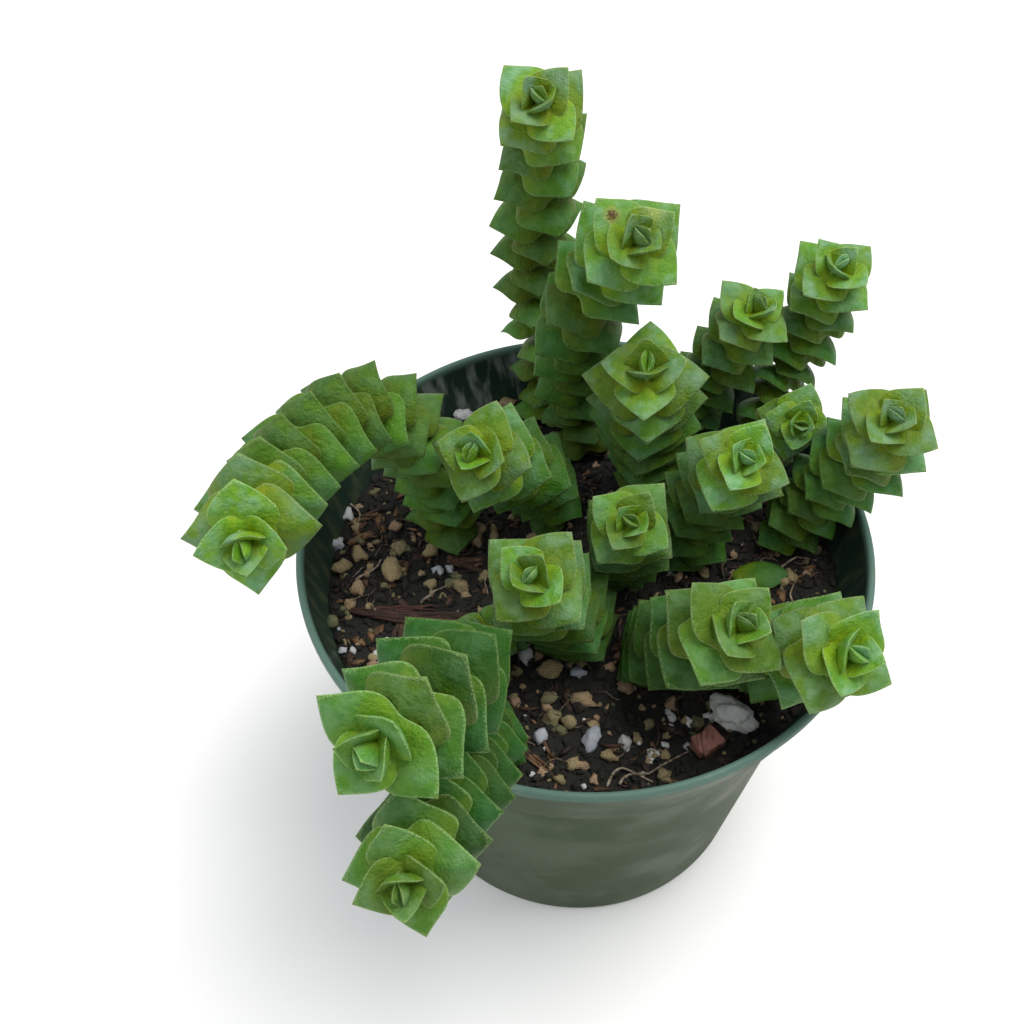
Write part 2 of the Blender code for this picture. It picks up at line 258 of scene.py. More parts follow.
def pot_material():
    """Green plastic: olive outside, a painted sheen of pale teal on the top of the lip, dark and dusty
    inside, scuffed at the band.
    """
    material, tree, shader = new_material("pot_green_plastic")
    place = add_node(tree, "TexCoord").outputs["Object"]
    axes = add_node(tree, "SeparateXYZ", {"Vector": place}).outputs
    flat = add_node(tree, "VectorMath", {0: place, 1: (1.0, 1.0, 0.0)}, operation="MULTIPLY")
    radius = add_node(tree, "VectorMath", {0: flat.outputs[0]}, operation="LENGTH").outputs["Value"]
    outward = add_node(tree, "VectorMath", {0: flat.outputs[0]}, operation="NORMALIZE").outputs[0]
    facing = add_node(tree, "NewGeometry").outputs["Normal"]
    dot = add_node(tree, "VectorMath", {0: facing, 1: outward}, operation="DOT_PRODUCT")
    inside = ramp(tree, dot.outputs["Value"], 0.1, -0.3)
    top = ramp(tree, axes["Z"], (POT_HEIGHT - 2.2) * MM, (POT_HEIGHT - 0.8) * MM)
    cloud, fine = grain(tree, 55.0, 40.0)
    streaks = stretched_noise(tree, (1.0, 1.0, 0.06), 420.0, 3.0)
    colour = blend_colours(tree, ramp(tree, cloud, 0.0, 1.0, 0.0, 0.5), POT_OLIVE, POT_MOTTLE)
    # Painted sheen: the upper half of the rounded lip is painted pale teal
    colour = blend_colours(tree, top, colour, POT_LIP_PAINTED_SHEEN)
    dark = blend_colours(tree, ramp(tree, streaks, 0.42, 0.7, 0.0, 0.6), POT_INSIDE, POT_STAIN)
    dust_line = ramp(tree, axes["Y"], 20 * MM, 46 * MM)
    dust = maths(tree, "MULTIPLY", dust_line, ramp(tree, streaks, 0.45, 0.70, 0.0, 0.45))
    dark = blend_colours(tree, dust, dark, MINERAL_DUST)
    below_lip = maths(tree, "SUBTRACT", 1.0, top)
    colour = blend_colours(tree, maths(tree, "MULTIPLY", inside, below_lip), colour, dark)
    scratches = stretched_noise(tree, (1.0, 1.0, 3.5), 330.0, 8.0)
    near_step = near(tree, axes["Z"], POT_HEIGHT - BAND_HEIGHT, 7.0)
    near_lip = near(tree, radius, RIM_RADIUS, 1.0)
    worn = maths(tree, "MAXIMUM", near_step, maths(tree, "MULTIPLY", near_lip, top))
    scuff = maths(tree, "MULTIPLY", ramp(tree, scratches, 0.56, 0.72, 0.0, 0.45), worn)
    colour = blend_colours(tree, scuff, colour, POT_SCUFF)
    tree.links.new(colour, shader.inputs["Base Color"])
    tree.links.new(ramp(tree, cloud, 0.0, 1.0, 0.38, 0.52), shader.inputs["Roughness"])
    height = maths(tree, "ADD", fine, maths(tree, "MULTIPLY", streaks, 1.5))
    bump(tree, shader, height, 0.05, 0.5)
    shader.inputs["Specular IOR Level"].default_value = 0.10
    return material


def turn_profile(profile, steps):
    """A bmesh turned from a profile of (radius, height) corners, closed on the axis."""
    bm = bmesh.new()
    line = [bm.verts.new((radius, 0.0, height)) for radius, height in profile]
    edges = [bm.edges.new(pair) for pair in zip(line, line[1:])]
    bmesh.ops.spin(
        bm, geom=line + edges, cent=(0, 0, 0), axis=(0, 0, 1), angle=2 * math.pi,
        steps=steps, use_merge=True)
    bmesh.ops.remove_doubles(bm, verts=bm.verts, dist=0.001)
    bmesh.ops.recalc_face_normals(bm, faces=bm.faces)
    return bm


def build_pot():
    """The turned shell of the pot, with drain holes cut through its floor."""
    neck = POT_HEIGHT - BAND_HEIGHT
    lip = RIM_RADIUS - LIP_REACH
    profile = [(0.0, 0.0), (BASE_RADIUS - 3.0, 0.0), (BASE_RADIUS - 2.6, 0.3), (BASE_RADIUS - 2.2, 0.0)]
    profile += [(BASE_RADIUS - 1.0, 0.0), (BASE_RADIUS - 0.3, 0.3), (BASE_RADIUS, 1.0)]
    profile += [(NECK_RADIUS - 0.1, neck - 3.0), (NECK_RADIUS + 0.3, neck - 1.6)]
    profile += [(BAND_FOOT_RADIUS - 0.7, neck - 0.4), (BAND_FOOT_RADIUS, neck + 0.4)]
    profile += [(RIM_RADIUS - 0.35, POT_HEIGHT - 2.6), (RIM_RADIUS, POT_HEIGHT - 1.7)]
    lip_arc = [math.radians(a) for a in range(0, 181, 30)]
    profile += [
        (lip + LIP_REACH * math.cos(a), POT_HEIGHT - 0.8 + 0.8 * math.sin(a)) for a in lip_arc]
    profile += [(RIM_RADIUS - WALL - 0.5, POT_HEIGHT - 2.4), (BAND_FOOT_RADIUS - WALL, neck + 1.0)]
    profile += [(NECK_RADIUS - WALL + 0.2, neck - 1.2), (BASE_RADIUS - WALL, FLOOR + 1.0)]
    profile += [(BASE_RADIUS - WALL - 1.0, FLOOR), (0.0, FLOOR)]
    bm = turn_profile(profile, POT_STEPS)
    pot = finish_piece("nursery_pot", bm, pot_material(), "pot_plastic", "pot")
    holes = bmesh.new()
    for i in range(DRAIN_HOLES):
        angle = 2 * math.pi * (i + 0.5) / DRAIN_HOLES
        place = Vector((math.cos(angle), math.sin(angle), 0.0)) * DRAIN_CIRCLE_RADIUS
        bmesh.ops.create_cone(
            holes, cap_ends=True, segments=32, radius1=DRAIN_HOLE_RADIUS, radius2=DRAIN_HOLE_RADIUS,
            depth=8.0, matrix=Matrix.Translation(place))
    holes.transform(Matrix.Scale(MM, 4))
    cutter_mesh = bpy.data.meshes.new("drain_holes")
    holes.to_mesh(cutter_mesh)
    holes.free()
    cutter = bpy.data.objects.new("drain_holes", cutter_mesh)
    bpy.context.scene.collection.objects.link(cutter)
    boolean = pot.modifiers.new("drain_holes", "BOOLEAN")
    boolean.object = cutter
    drilled = bpy.data.meshes.new_from_object(pot.evaluated_get(bpy.context.evaluated_depsgraph_get()))
    pot.modifiers.clear()
    pot.data = drilled
    drilled.shade_smooth()
    drilled.set_sharp_from_angle(angle=math.radians(35.0))
    bpy.data.objects.remove(cutter)


build_pot()

# -------------------------------------------------------------------------------------------- soil
# Peat and bark potting mix, filled to a little below the rim and settled into low humps, with
# loose crumbs of it all over the top.
SOIL_LEVEL = 74.0
SOIL_GAP = 0.4
SOIL_ROLL = 0.5
SOIL_RINGS = 46
SOIL_STEPS = 140
CRUMBS = 5200
LUMP_KINDS = 7
SOIL_BLACK = (0.0050, 0.0042, 0.0032)
SOIL_BROWN = (0.022, 0.017, 0.011)
SOIL_ALGAE = (0.020, 0.022, 0.012)


def pot_inner_radius(height):
    """Radius of the pot's inner wall beside the soil, where the rim band widens upwards."""
    share = (height - (POT_HEIGHT - BAND_HEIGHT)) / BAND_HEIGHT
    return BAND_FOOT_RADIUS + (RIM_RADIUS - BAND_FOOT_RADIUS) * share - WALL


def soil_height(x, y):
    """The soil's surface in millimetres: low humps, and lumps the size of peat crumbs."""
    waves = math.sin(0.17 * x + 1.0) * math.cos(0.15 * y) + 0.6 * math.sin(0.31 * y - 0.23 * x)
    lumps = 0.55 * noise.noise(Vector((x, y, 0.0)) * 0.42) + 0.35 * noise.noise(Vector((x, y, 9.0)) * 1.1)
    return SOIL_LEVEL + 0.6 * SOIL_ROLL * waves + lumps - 0.2


def soil_material():
    """Damp black peat with brown crumbs; each loose crumb has a tone of its own."""
    material, tree, shader = new_material("peat")
    tone = add_node(tree, "Attribute", attribute_name="tone").outputs["Fac"]
    cloud, fine = grain(tree, 700.0, 6.0)
    share = maths(tree, "MULTIPLY", ramp(tree, tone, 0.35, 1.0), ramp(tree, fine, 0.3, 0.7, 0.3, 1.0))
    colour = blend_colours(tree, share, SOIL_BLACK, SOIL_BROWN)
    colour = blend_colours(tree, maths(tree, "MULTIPLY", cloud, 0.35), colour, SOIL_ALGAE)
    tree.links.new(colour, shader.inputs["Base Color"])
    tree.links.new(ramp(tree, cloud, 0.0, 1.0, 0.72, 0.95), shader.inputs["Roughness"])
    bump(tree, shader, fine, 0.35)
    return material


def make_lump(seed, roughness, subdivisions=1):
    """One chipped lump of unit size, as a mesh to be repeated."""
    bm = bmesh.new()
    bmesh.ops.create_icosphere(bm, subdivisions=subdivisions, radius=1.0)
    for vert in bm.verts:
        push = noise.noise(vert.co * 1.3 + Vector((seed * 7.1, 0.0, 0.0)))
        vert.co *= 1.0 + roughness * push
    mesh = bpy.data.meshes.new("lump")
    bm.to_mesh(mesh)
    bm.free()
    return mesh


def scatter(name, shapes, places, material, slot):
    """One piece with many copies of a few small shapes: (shape index, matrix, tone) for each."""
    parts = []
    for shape in shapes:
        points = np.empty(len(shape.vertices) * 3)
        shape.vertices.foreach_get("co", points)
        corners = [tuple(face.vertices) for face in shape.polygons]
        parts.append((points.reshape(-1, 3), corners))
    verts, faces, tones = [], [], []
    first = 0
    for index, matrix, tone in places:
        points, corners = parts[index]
        verts.append(points @ np.array(matrix.to_3x3()).T + np.array(matrix.translation))
        faces.extend(tuple(first + i for i in corner) for corner in corners)
        tones.append(np.full(len(points), tone))
        first += len(points)
    mesh = bpy.data.meshes.new(name)
    mesh.from_pydata((np.concatenate(verts) * MM).tolist(), [], faces)
    mesh.shade_smooth()
    mesh.attributes.new("tone", "FLOAT", "POINT").data.foreach_set("value", np.concatenate(tones))
    return place_piece(name, mesh, material, slot)


def random_place(rng, margin=1.5):
    """An even random point on the soil, inside the pot's wall."""
    reach = pot_inner_radius(SOIL_LEVEL) - margin
    radius = reach * math.sqrt(rng.random())
    angle = rng.uniform(0.0, 2 * math.pi)
    return radius * math.cos(angle), radius * math.sin(angle)


def lump_matrix(rng, x, y, half_sizes, sunk=0.35, flat=False):
    """Places a unit lump on the soil, turned at random and sunk in by a share of its height."""
    size = Matrix.Diagonal((*half_sizes, 1.0))
    turn = Matrix.Rotation(rng.uniform(0.0, 2 * math.pi), 4, "Z")
    lean = Matrix.Rotation(rng.uniform(-0.35, 0.35) if flat else rng.uniform(-1.5, 1.5), 4, "X")
    height = soil_height(x, y) + half_sizes[2] * (1.0 - 2.0 * sunk)
    return Matrix.Translation((x, y, height)) @ turn @ lean @ size


def build_soil():
    peat = soil_material()
    neck = POT_HEIGHT - BAND_HEIGHT
    edge = pot_inner_radius(SOIL_LEVEL) - SOIL_GAP
    inset = WALL + SOIL_GAP
    profile = [(0.0, FLOOR + 0.3), (BASE_RADIUS - inset - 1.0, FLOOR + 0.3)]
    profile += [(NECK_RADIUS - inset, neck - 1.4), (BAND_FOOT_RADIUS - inset, neck + 1.2)]
    profile += [(edge, SOIL_LEVEL - 1.2)]
    profile += [(edge * (1.0 - i / SOIL_RINGS), SOIL_LEVEL) for i in range(SOIL_RINGS + 1)]
    bm = turn_profile(profile, SOIL_STEPS)
    for vert in bm.verts:
        if vert.co.z > SOIL_LEVEL - 0.1:
            vert.co.z = soil_height(vert.co.x, vert.co.y)
    finish_piece("soil_bed", bm, peat, "potting_mix", "soil")
    rng = random.Random(11)
    lumps = [make_lump(seed, 0.9) for seed in range(LUMP_KINDS)]
    places = []
    for _ in range(CRUMBS):
        x, y = random_place(rng, 0.8)
        size = 0.35 + 0.75 * rng.random() ** 3
        half_sizes = (size * rng.uniform(0.8, 1.5), size, size * rng.uniform(0.5, 0.9))
        places.append((rng.randrange(LUMP_KINDS), lump_matrix(rng, x, y, half_sizes), rng.random()))
    scatter("soil_crumbs", lumps, places, peat, "potting_mix")


build_soil()

# -------------------------------------------------------------------------------------------- grit
# Perlite, pumice and small stones mixed into the soil, most of them half buried, with three larger
# lumps lying loose on top. A lump's tone picks its colour between those of its material.
GRIT_KINDS = 8
LOOSE_PERLITE = 60
LOOSE_PUMICE = 560
CHUNK_FINENESS = 4
PIT_BLACK = (0.020, 0.018, 0.014)
PERLITE_TONES = ((0.38, 0.42, 0.50), (0.62, 0.63, 0.62), (0.92, 0.93, 0.88))
PUMICE_TONES = ((0.100, 0.120, 0.055), (0.330, 0.260, 0.130), (0.380, 0.240, 0.160))

# Lumps seen on the surface: place, half length, half width, turn in degrees, tone
PERLITE_LUMPS = (
    (-48, 11, 1.4, 1.2, 105, 0.3), (-49, 4, 1.4, 1.4, 150, 0.2), (-36, -18, 0.5, 0.5, 0, 0.5),
    (-31, -17, 0.5, 0.6, 0, 0.8), (-37, -21, 1.3, 0.9, 60, 0.5), (-44, -21, 0.9, 0.7, 170, 0.2),
    (-42, -21, 0.8, 0.7, 140, 0.3), (-10, -20, 2.2, 1.5, 115, 0.6), (0, -23, 1.7, 1.1, 175, 0.0),
    (3, -37, 2.3, 1.6, 70, 0.1), (17, -31, 1.5, 0.8, 120, 0.5), (9, -37, 1.6, 1.0, 110, 0.5),
    (20, -32, 1.1, 0.8, 120, 0.9), (14, -39, 1.1, 1.0, 0, 0.7), (13, -40, 0.9, 0.8, 150, 0.8),
    (16, -37, 0.7, 0.6, 0, 0.7), (24, -31, 1.3, 0.8, 170, 0.8), (-7, -44, 0.5, 0.6, 0, 0.4),
    (2, -46, 0.5, 0.6, 0, 0.5), (20, -37, 0.7, 0.8, 0, 0.6), (-28, -2, 1.2, 1.4, 0, 0.15),
    (-26, -1, 1.0, 0.9, 150, 0.2), (-6, -37, 1.4, 1.4, 100, 0.15), (12, -43, 0.7, 0.6, 0, 0.4),
)
PUMICE_LUMPS = (
    (-47, -2, 1.8, 1.6, 60, 0.6), (-44, 1, 1.6, 1.4, 130, 0.62), (-43, -7, 1.6, 1.6, 30, 0.8),
    (-38, -6, 1.0, 0.8, 0, 0.2), (-24, -3, 1.4, 1.1, 0, 0.05), (-23, -5, 1.7, 1.1, 160, 0.45),
    (-29, -5, 1.4, 1.1, 0, 0.5), (-36, 3, 1.6, 1.6, 0, 0.3), (-30, 3, 1.6, 1.6, 160, 0.5),
    (-38, 9, 1.2, 1.4, 0, 0.9), (-21, 9, 1.6, 1.6, 0, 0.75), (-21, 6, 1.2, 1.4, 0, 0.7),
    (-47, -15, 1.3, 1.8, 0, 0.0), (-5, -23, 2.4, 2.1, 30, 0.5), (9, -26, 1.5, 1.3, 0, 0.85),
    (12, -30, 0.7, 0.6, 30, 0.7), (-11, -30, 1.1, 1.0, 0, 0.95), (-5, -29, 1.3, 1.3, 0, 0.2),
    (1, -29, 2.6, 1.5, 170, 0.75), (-4, -33, 1.6, 1.5, 110, 0.25), (-1, -34, 1.4, 1.5, 0, 0.35),
    (6, -40, 1.8, 1.0, 160, 0.5), (1, -42, 2.1, 1.0, 0, 0.8), (-18, 45, 1.8, 1.5, 0, 0.6),
    (-13, 43, 1.3, 1.3, 0, 0.85),
)

# The larger lumps: place, three half-sizes, turn in degrees, seed, tone, depth of the knobs
CHUNKS = {
    "perlite_chunk": ((28, -31), (4.3, 2.8, 2.1), -28, 1, 1.0, 0.42),
    "pumice_pebble": ((-37, -3), (2.8, 1.9, 1.5), 110, 2, 0.60, 0.22),
    "perlite_back": ((-27, 40), (2.0, 1.5, 1.2), 20, 3, 0.40, 0.40),
}


def mineral_material(name, tones, pore_scale, pitted):
    """Porous mineral whose colour follows the tone of each lump, with soil caught in its pores."""
    material, tree, shader = new_material(name)
    tone = add_node(tree, "Attribute", attribute_name="tone").outputs["Fac"]
    cloud, fine = grain(tree, pore_scale, 4.0)
    colour = blend_colours(tree, ramp(tree, tone, 0.0, 0.5), tones[0], tones[1])
    colour = blend_colours(tree, ramp(tree, tone, 0.5, 1.0), colour, tones[2])
    colour = blend_colours(tree, ramp(tree, cloud, 0.0, 1.0, 0.0, 0.35), colour, tones[1])
    colour = blend_colours(tree, ramp(tree, fine, 0.50, 0.68, 0.0, pitted), colour, PIT_BLACK)
    tree.links.new(colour, shader.inputs["Base Color"])
    tree.links.new(ramp(tree, cloud, 0.0, 1.0, 0.75, 0.95), shader.inputs["Roughness"])
    bump(tree, shader, maths(tree, "SUBTRACT", 1.0, fine), 0.35)
    return material


def build_chunk(name, place, half_sizes, turn, seed, tone, knobs, material, slot):
    """A larger knobbly lump that lies on the soil."""
    bm = bmesh.new()
    bmesh.ops.create_icosphere(bm, subdivisions=CHUNK_FINENESS, radius=1.0)
    mark = bm.verts.layers.float.new("tone")
    shift = Vector((seed * 7.1, 0.0, 0.0))
    for vert in bm.verts:
        push = noise.noise(vert.co * 1.2 + shift) + 0.45 * noise.noise(vert.co * 3.5 + shift)
        vert[mark] = tone
        vert.co *= 1.0 + knobs * push
    x, y = place
    bm.transform(Matrix.Diagonal((*half_sizes, 1.0)))
    bm.transform(Matrix.Rotation(math.radians(turn), 4, "Z"))
    bm.transform(Matrix.Translation((x, y, soil_height(x, y) + 0.85 * half_sizes[2])))
    finish_piece("loose_" + name, bm, material, slot, name)


def build_grit():
    white = mineral_material("perlite_white", PERLITE_TONES, 1500.0, 0.15)
    tan = mineral_material("pumice_tan", PUMICE_TONES, 1100.0, 0.75)
    lumps = [make_lump(seed, 0.75, 2) for seed in range(GRIT_KINDS)]
    rng = random.Random(5)
    for name, listed, count, largest, material, slot in (
            ("perlite_grit", PERLITE_LUMPS, LOOSE_PERLITE, 0.65, white, "perlite"),
            ("pumice_grit", PUMICE_LUMPS, LOOSE_PUMICE, 1.25, tan, "pumice")):
        places = []
        for x, y, length, width, turn, tone in listed:
            height = soil_height(x, y) + 0.45 * width
            matrix = (
                Matrix.Translation((x, y, height))
                @ Matrix.Rotation(math.radians(turn), 4, "Z")
                @ Matrix.Diagonal((length, width, 0.8 * width, 1.0)))
            places.append((rng.randrange(GRIT_KINDS), matrix, tone))
        for _ in range(count):
            x, y = random_place(rng)
            size = 0.35 + (largest - 0.35) * rng.random() ** 1.6
            half_sizes = (size * rng.uniform(0.9, 1.3), size, size * rng.uniform(0.7, 0.95))
            matrix = lump_matrix(rng, x, y, half_sizes, sunk=0.3)
            places.append((rng.randrange(GRIT_KINDS), matrix, rng.random()))
        scatter(name, lumps, places, material, slot)
    for name, (place, half_sizes, turn, seed, tone, knobs) in CHUNKS.items():
        material, slot = (tan, "pumice") if name == "pumice_pebble" else (white, "perlite")
        build_chunk(name, place, half_sizes, turn, seed, tone, knobs, material, slot)


build_grit()

# ------------------------------------------------------------------------------------------ litter
# Shreds of composted bark, a long frayed splinter of it on the left, a thick pink chip at the
# front, and fine dead roots, all lying loose on the soil or pressed a little into it.
BARK_SLIVERS = 420
SLIVER_KINDS = 5
LOOSE_FIBRES = 150
FIBRE_SIDES = 5
SPLINTER_SIDES = 6
SPLINTER_STEPS = 9
BARK_TONES = ((0.018, 0.010, 0.007), (0.075, 0.036, 0.017), (0.200, 0.105, 0.042))
SPLINTER_RED = (0.060, 0.018, 0.010)
SPLINTER_TAN = (0.210, 0.110, 0.060)
CHIP_PINK = (0.300, 0.130, 0.100)
FIBRE_TAN = (0.190, 0.145, 0.095)
FIBRE_PALE = (0.420, 0.360, 0.280)
CHIP_PLACE = (23, -37)
CHIP_HALF_SIZES = (2.6, 1.9, 1.4)
CHIP_TURN = 40

# Splinters: start, end, half width, thickness, how many lie side by side, and their tone
LONG_SPLINTERS = (
    ((-44.5, -12.5), (-15.5, -13.0), 1.6, 0.7, 7, 0.35),
    ((-44.0, -11.8), (-26.0, -11.0), 0.7, 0.5, 3, 0.55),
)
SHORT_SPLINTERS = (
    ((-33.8, -14.0), (-33.6, -22.0), 1.1, 0.6, 3, 0.45), ((-27.0, 1.2), (-18.0, 0.3), 1.5, 0.6, 3, 0.50),
    ((-11.7, -37.1), (-3.0, -44.3), 0.8, 0.4, 6, 0.75), ((-4.9, -38.5), (-3.2, -44.0), 0.3, 0.2, 2, 0.90),
    ((-48.0, 8.5), (-41.0, 12.5), 0.7, 0.5, 3, 0.85), ((-48.0, 3.0), (-40.5, 7.5), 0.8, 0.6, 3, 0.80),
    ((-47.0, 5.0), (-42.0, 9.0), 1.2, 0.5, 2, 0.65), ((-41.0, 12.0), (-39.5, 4.0), 0.5, 0.4, 2, 0.80),
    ((-16.5, 40.5), (-9.0, 37.0), 0.8, 0.5, 3, 0.60), ((-24.0, 36.5), (-17.0, 40.0), 0.6, 0.4, 2, 0.80),
    ((36.0, 5.5), (41.0, 9.5), 0.8, 0.4, 3, 0.85), ((40.0, -1.0), (46.0, 3.0), 0.7, 0.4, 3, 0.90),
    ((5.5, -17.0), (10.5, -18.0), 0.9, 0.5, 2, 0.50), ((12.0, -27.0), (19.0, -24.5), 0.6, 0.4, 2, 0.55),
)
# Thicker dead roots: the corners that each one's line rounds off
ROOTS = (
    ((5.9, -45.8), (7.2, -43.3), (9.2, -42.6), (13.8, -44.5)),
    ((8.0, -45.4), (9.6, -43.6), (13.1, -43.0), (17.1, -40.2), (20.1, -38.1)),
    ((-49.0, 15.0), (-46.6, 12.6), (-45.4, 10.9), (-45.8, 8.2)),
    ((-44.0, -5.0), (-40.5, -2.6), (-39.5, 0.6)), ((-30.5, -9.5), (-28.0, -7.0), (-24.5, -4.0)),
    ((38.0, 2.0), (42.0, 5.0), (46.0, 5.0)), ((43.0, -9.0), (40.0, -5.0), (41.0, -1.0)),
)


def wood_material(name, tones, along):
    """Fibrous bark, striped along one axis, its colour following each shred's tone."""
    material, tree, shader = new_material(name)
    tone = add_node(tree, "Attribute", attribute_name="tone").outputs["Fac"]
    stripes = stretched_noise(tree, along, 1600.0, 3.0)
    cloud, fine = grain(tree, 420.0, 6.0)
    colour = blend_colours(tree, ramp(tree, tone, 0.0, 0.5), tones[0], tones[1])
    colour = blend_colours(tree, ramp(tree, tone, 0.5, 1.0), colour, tones[2])
    colour = blend_colours(tree, ramp(tree, stripes, 0.42, 0.62, 0.0, 0.7), colour, tones[0])
    colour = blend_colours(tree, ramp(tree, cloud, 0.4, 1.0, 0.0, 0.4), colour, tones[1])
    tree.links.new(colour, shader.inputs["Base Color"])
    tree.links.new(ramp(tree, stripes, 0.3, 0.7, 0.65, 0.9), shader.inputs["Roughness"])
    bump(tree, shader, maths(tree, "ADD", stripes, maths(tree, "MULTIPLY", fine, 0.4)), 0.3)
    return material


def sweep(bm, frames, sides):
    """A closed tube drawn out through a row of frames, whose X and Y axes give its half-sizes."""
    made = bmesh.ops.create_circle(bm, cap_ends=True, segments=sides, radius=1.0, matrix=frames[0])
    face = made["verts"][0].link_faces[0]
    verts = list(made["verts"])
    for before, after in zip(frames, frames[1:]):
        drawn = bmesh.ops.extrude_face_region(bm, geom=[face])["geom"]
        face = next(item for item in drawn if isinstance(item, bmesh.types.BMFace))
        bmesh.ops.transform(bm, matrix=after @ before.inverted(), verts=face.verts)
        verts += list(face.verts)
    return verts


def line_frames(points, half_sizes):
    """Frames along a line of points, X sideways and Y upwards, scaled to the half-sizes given."""
    frames = []
    for i, (point, (width, thickness)) in enumerate(zip(points, half_sizes)):
        ahead = (points[min(i + 1, len(points) - 1)] - points[max(i - 1, 0)]).normalized()
        side = ahead.cross(Vector((0.0, 0.0, 1.0))).normalized()
        turned = Matrix((side * width, side.cross(ahead) * thickness, ahead)).transposed().to_4x4()
        frames.append(Matrix.Translation(point) @ turned)
    return frames


def add_splinters(bm, mark, start, end, half_width, thickness, count, tone, rng):
    """A few torn shreds side by side, thicker in the middle and wandering a little."""
    start, end = Vector((*start, 0.0)), Vector((*end, 0.0))
    along = end - start
    across = along.normalized().cross(Vector((0.0, 0.0, 1.0)))
    for i in range(count):
        offset = half_width * (2.0 * i / max(count - 1, 1) - 1.0)
        first, last = rng.uniform(0.0, 0.25), rng.uniform(0.8, 1.02)
        bow = rng.uniform(-0.5, 0.5) * half_width
        points, half_sizes = [], []
        for step in range(SPLINTER_STEPS):
            share = step / (SPLINTER_STEPS - 1)
            spot = start + along * (first + (last - first) * share)
            spread = 0.35 + 0.65 * share
            wander = bow * math.sin(math.pi * share) + rng.uniform(-0.12, 0.12)
            spot += across * (offset * spread + wander)
            full = 0.25 + 0.75 * math.sin(math.pi * min(1.0, 0.08 + share)) ** 0.5
            spot.z = soil_height(spot.x, spot.y) + thickness * (0.8 + rng.uniform(0.0, 0.8))
            points.append(spot)
            half_sizes.append((max(0.12, 0.9 * half_width / count ** 0.5 * full), 0.5 * thickness * full))
        shade = min(1.0, max(0.0, tone + rng.uniform(-0.2, 0.2)))
        for vert in sweep(bm, line_frames(points, half_sizes), SPLINTER_SIDES):
            vert[mark] = shade


def add_fibre(bm, mark, corners, radius, tone):
    """A dead root: a tube that thins out along a rounded line over the soil."""
    path, _ = smooth_path([(x, y, 0.0) for x, y in corners], steps=4)
    last = len(path) - 1
    points = [
        Vector((p.x, p.y, soil_height(p.x, p.y) + 0.5 + 0.5 * math.sin(math.pi * i / last)))
        for i, p in enumerate(path)]
    half_sizes = [(radius * (1.0 - 0.5 * i / last),) * 2 for i in range(last + 1)]
    for vert in sweep(bm, line_frames(points, half_sizes), FIBRE_SIDES):
        vert[mark] = tone


def smooth_path(route, steps=24):
    """Points along a Catmull-Rom curve through the route, with the distance along it to each."""
    points = [Vector(p) for p in route]
    points = [2 * points[0] - points[1]] + points + [2 * points[-1] - points[-2]]
    path = []
    for a, b, c, d in zip(points, points[1:], points[2:], points[3:]):
        for step in range(steps):
            t = step / steps
            path.append(0.5 * (2 * b + (c - a) * t + (2 * a - 5 * b + 4 * c - d) * t ** 2
                               + (3 * b - a - 3 * c + d) * t ** 3))
    path.append(points[-2])
    lengths = [0.0]
    for before, after in zip(path, path[1:]):
        lengths.append(lengths[-1] + (after - before).length)
    return path, lengths


